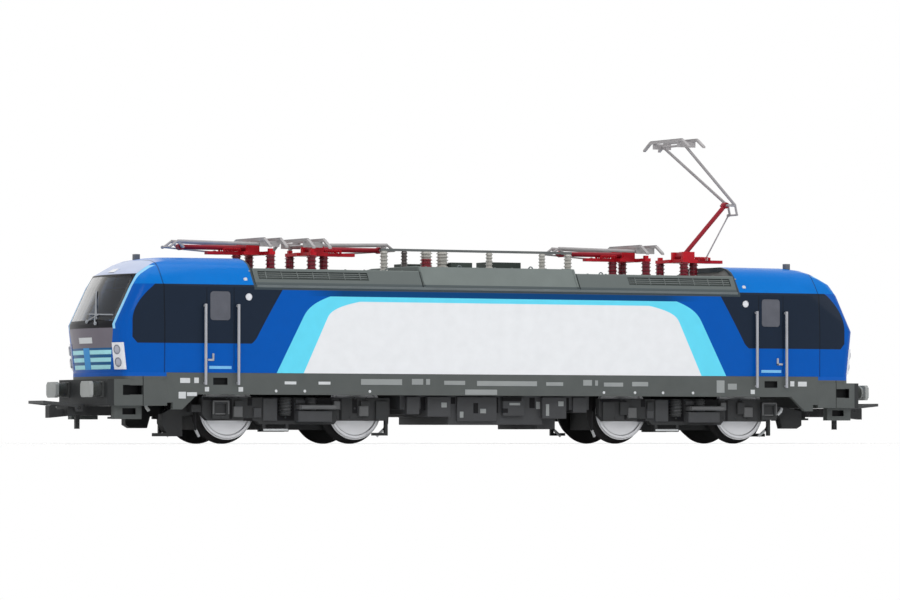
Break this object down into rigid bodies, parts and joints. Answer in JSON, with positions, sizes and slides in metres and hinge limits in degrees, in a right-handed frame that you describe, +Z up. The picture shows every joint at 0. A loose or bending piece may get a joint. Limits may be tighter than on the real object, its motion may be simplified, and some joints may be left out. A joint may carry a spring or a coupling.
{
  "type": "scale model electric locomotive",
  "caption": "Scale model electric locomotive with hollow two-cab body, swivelling bogies, rolling wheelsets, swinging loop couplers and folding single-arm pantographs.",
  "frame": {"origin": "middle of the model's footprint, level with the lowest points of the wheel flanges", "axes": "+X along the locomotive towards the end whose pantograph is raised, +Y across it to its left, +Z up"},
  "size_m": [0.2348, 0.0368, 0.077],
  "materials": {
    "arm_metal": "satin grey with red lower arms",
    "bare_metal": "satin metal",
    "black_plastic": "matt black",
    "body_paint": "semi-gloss blue, white and navy livery",
    "chassis_metal": "blackened die-cast metal",
    "frame_grey": "satin dark grey",
    "glass": "clear moulded glazing with a grey tint",
    "insulator_brown": "glossy brown red",
    "insulator_white": "glossy off-white",
    "lamp": "clear and white lamp mouldings",
    "panto_red": "satin red",
    "roof_grey": "satin grey",
    "wheel_metal": "turned bright metal"
  },
  "bodies": {
    "locomotive_body": {"body_shell": "body_paint", "glazing": "glass", "roof_hood_a": "roof_grey", "roof_hood_centre": "roof_grey", "roof_hood_b": "roof_grey", "side_skirts": "frame_grey", "headstocks": "frame_grey", "chassis_floor": "chassis_metal", "bogie_pins": "bare_metal", "ballast_block": "chassis_metal", "headlamps": "lamp", "cab_interiors": "black_plastic", "underfloor_tank": "black_plastic", "buffers": "bare_metal", "door_handrails": "bare_metal", "roof_posts": "insulator_white", "roof_busbar": "bare_metal", "roof_boxes": "bare_metal", "panto_insulators": "insulator_brown", "panto_1_base": "panto_red", "panto_2_base": "panto_red", "panto_3_base": "panto_red", "panto_4_base": "panto_red"},
    "bogie_a": {"bogie_frame_a": "black_plastic", "bogie_gearbox_a": "black_plastic"},
    "wheelset_1": {"wheelset_1": "wheel_metal"},
    "wheelset_2": {"wheelset_2": "wheel_metal"},
    "coupler_a": {"coupler_a": "black_plastic"},
    "coupler_loop_a": {"coupler_loop_a": "bare_metal"},
    "bogie_b": {"bogie_frame_b": "black_plastic", "bogie_gearbox_b": "black_plastic"},
    "wheelset_3": {"wheelset_3": "wheel_metal"},
    "wheelset_4": {"wheelset_4": "wheel_metal"},
    "coupler_b": {"coupler_b": "black_plastic"},
    "coupler_loop_b": {"coupler_loop_b": "bare_metal"},
    "panto_1_lower_arm": {"panto_1_lower_arm": "arm_metal"},
    "panto_1_upper_arm": {"panto_1_upper_arm": "arm_metal"},
    "panto_1_rod": {"panto_1_rod": "arm_metal"},
    "panto_1_head": {"panto_1_head": "arm_metal"},
    "panto_2_lower_arm": {"panto_2_lower_arm": "arm_metal"},
    "panto_2_upper_arm": {"panto_2_upper_arm": "arm_metal"},
    "panto_2_rod": {"panto_2_rod": "arm_metal"},
    "panto_2_head": {"panto_2_head": "arm_metal"},
    "panto_3_lower_arm": {"panto_3_lower_arm": "arm_metal"},
    "panto_3_upper_arm": {"panto_3_upper_arm": "arm_metal"},
    "panto_3_rod": {"panto_3_rod": "arm_metal"},
    "panto_3_head": {"panto_3_head": "arm_metal"},
    "panto_4_lower_arm": {"panto_4_lower_arm": "arm_metal"},
    "panto_4_upper_arm": {"panto_4_upper_arm": "arm_metal"},
    "panto_4_rod": {"panto_4_rod": "arm_metal"},
    "panto_4_head": {"panto_4_head": "arm_metal"}
  },
  "joints": [
    {"name": "bogie_a_swivel", "type": "hinge", "parent": "locomotive_body", "child": "bogie_a", "pos_m": [-0.0546, 0, 0.015], "axis": [0, 0, 1], "range_deg": [-9, 9]},
    {"name": "wheelset_1_roll", "type": "hinge", "parent": "bogie_a", "child": "wheelset_1", "pos_m": [-0.07185, 0, 0.0082], "axis": [0, 1, 0], "continuous": true},
    {"name": "wheelset_2_roll", "type": "hinge", "parent": "bogie_a", "child": "wheelset_2", "pos_m": [-0.03735, 0, 0.0082], "axis": [0, 1, 0], "continuous": true},
    {"name": "coupler_a_swing", "type": "hinge", "parent": "locomotive_body", "child": "coupler_a", "pos_m": [-0.097, 0, 0.0079], "axis": [0, 0, 1], "range_deg": [-12, 12]},
    {"name": "coupler_loop_a_lift", "type": "hinge", "parent": "coupler_a", "child": "coupler_loop_a", "pos_m": [-0.108, 0, 0.0086], "axis": [0, 1, 0], "range_deg": [0, 20]},
    {"name": "bogie_b_swivel", "type": "hinge", "parent": "locomotive_body", "child": "bogie_b", "pos_m": [0.0546, 0, 0.015], "axis": [0, 0, 1], "range_deg": [-9, 9]},
    {"name": "wheelset_3_roll", "type": "hinge", "parent": "bogie_b", "child": "wheelset_3", "pos_m": [0.03735, 0, 0.0082], "axis": [0, 1, 0], "continuous": true},
    {"name": "wheelset_4_roll", "type": "hinge", "parent": "bogie_b", "child": "wheelset_4", "pos_m": [0.07185, 0, 0.0082], "axis": [0, 1, 0], "continuous": true},
    {"name": "coupler_b_swing", "type": "hinge", "parent": "locomotive_body", "child": "coupler_b", "pos_m": [0.097, 0, 0.0079], "axis": [0, 0, 1], "range_deg": [-12, 12]},
    {"name": "coupler_loop_b_lift", "type": "hinge", "parent": "coupler_b", "child": "coupler_loop_b", "pos_m": [0.108, 0, 0.0086], "axis": [0, -1, 0], "range_deg": [0, 20]},
    {"name": "panto_1_raise", "type": "hinge", "parent": "locomotive_body", "child": "panto_1_lower_arm", "pos_m": [-0.0614, 0, 0.0476], "axis": [0, 1, 0], "range_deg": [0, 46.6]},
    {"name": "panto_1_knee", "type": "hinge", "parent": "panto_1_lower_arm", "child": "panto_1_upper_arm", "pos_m": [-0.0796, 0, 0.0476], "axis": [0, 1, 0], "range_deg": [-88.95, 0]},
    {"name": "panto_1_level", "type": "hinge", "parent": "panto_1_upper_arm", "child": "panto_1_head", "pos_m": [-0.05852, 0, 0.04841], "axis": [0, 1, 0], "range_deg": [0, 42.35]},
    {"name": "panto_1_link", "type": "hinge", "parent": "locomotive_body", "child": "panto_1_rod", "pos_m": [-0.06925, 0, 0.04654], "axis": [0, 1, 0], "range_deg": [0, 54.77]},
    {"name": "panto_2_raise", "type": "hinge", "parent": "locomotive_body", "child": "panto_2_lower_arm", "pos_m": [-0.0439, 0, 0.0476], "axis": [0, -1, 0], "range_deg": [0, 46.6]},
    {"name": "panto_2_knee", "type": "hinge", "parent": "panto_2_lower_arm", "child": "panto_2_upper_arm", "pos_m": [-0.0257, 0, 0.0476], "axis": [0, -1, 0], "range_deg": [-88.95, 0]},
    {"name": "panto_2_level", "type": "hinge", "parent": "panto_2_upper_arm", "child": "panto_2_head", "pos_m": [-0.04678, 0, 0.04841], "axis": [0, -1, 0], "range_deg": [0, 42.35]},
    {"name": "panto_2_link", "type": "hinge", "parent": "locomotive_body", "child": "panto_2_rod", "pos_m": [-0.03605, 0, 0.04654], "axis": [0, -1, 0], "range_deg": [0, 54.77]},
    {"name": "panto_3_raise", "type": "hinge", "parent": "locomotive_body", "child": "panto_3_lower_arm", "pos_m": [0.0439, 0, 0.0476], "axis": [0, 1, 0], "range_deg": [0, 46.6]},
    {"name": "panto_3_knee", "type": "hinge", "parent": "panto_3_lower_arm", "child": "panto_3_upper_arm", "pos_m": [0.0257, 0, 0.0476], "axis": [0, 1, 0], "range_deg": [-88.95, 0]},
    {"name": "panto_3_level", "type": "hinge", "parent": "panto_3_upper_arm", "child": "panto_3_head", "pos_m": [0.04678, 0, 0.04841], "axis": [0, 1, 0], "range_deg": [0, 42.35]},
    {"name": "panto_3_link", "type": "hinge", "parent": "locomotive_body", "child": "panto_3_rod", "pos_m": [0.03605, 0, 0.04654], "axis": [0, 1, 0], "range_deg": [0, 54.77]},
    {"name": "panto_4_raise", "type": "hinge", "parent": "locomotive_body", "child": "panto_4_lower_arm", "pos_m": [0.0614, 0, 0.0476], "axis": [0, -1, 0], "range_deg": [-46.6, 0]},
    {"name": "panto_4_knee", "type": "hinge", "parent": "panto_4_lower_arm", "child": "panto_4_upper_arm", "pos_m": [0.0739, 0, 0.06082], "axis": [0, -1, 0], "range_deg": [0, 88.95]},
    {"name": "panto_4_level", "type": "hinge", "parent": "panto_4_upper_arm", "child": "panto_4_head", "pos_m": [0.05885, 0, 0.07561], "axis": [0, -1, 0], "range_deg": [-42.35, 0]},
    {"name": "panto_4_link", "type": "hinge", "parent": "locomotive_body", "child": "panto_4_rod", "pos_m": [0.06925, 0, 0.04654], "axis": [0, -1, 0], "range_deg": [-54.77, 0]}
  ],
  "couplings": [
    {"joint": "panto_1_knee", "follows": "panto_1_raise", "ratio": -1.9077},
    {"joint": "panto_1_level", "follows": "panto_1_raise", "ratio": 0.9077},
    {"joint": "panto_1_link", "follows": "panto_1_raise", "ratio": 1.1743},
    {"joint": "panto_2_knee", "follows": "panto_2_raise", "ratio": -1.9077},
    {"joint": "panto_2_level", "follows": "panto_2_raise", "ratio": 0.9077},
    {"joint": "panto_2_link", "follows": "panto_2_raise", "ratio": 1.1743},
    {"joint": "panto_3_knee", "follows": "panto_3_raise", "ratio": -1.9077},
    {"joint": "panto_3_level", "follows": "panto_3_raise", "ratio": 0.9077},
    {"joint": "panto_3_link", "follows": "panto_3_raise", "ratio": 1.1743},
    {"joint": "panto_4_knee", "follows": "panto_4_raise", "ratio": -1.9077},
    {"joint": "panto_4_level", "follows": "panto_4_raise", "ratio": 0.9077},
    {"joint": "panto_4_link", "follows": "panto_4_raise", "ratio": 1.1743}
  ]
}
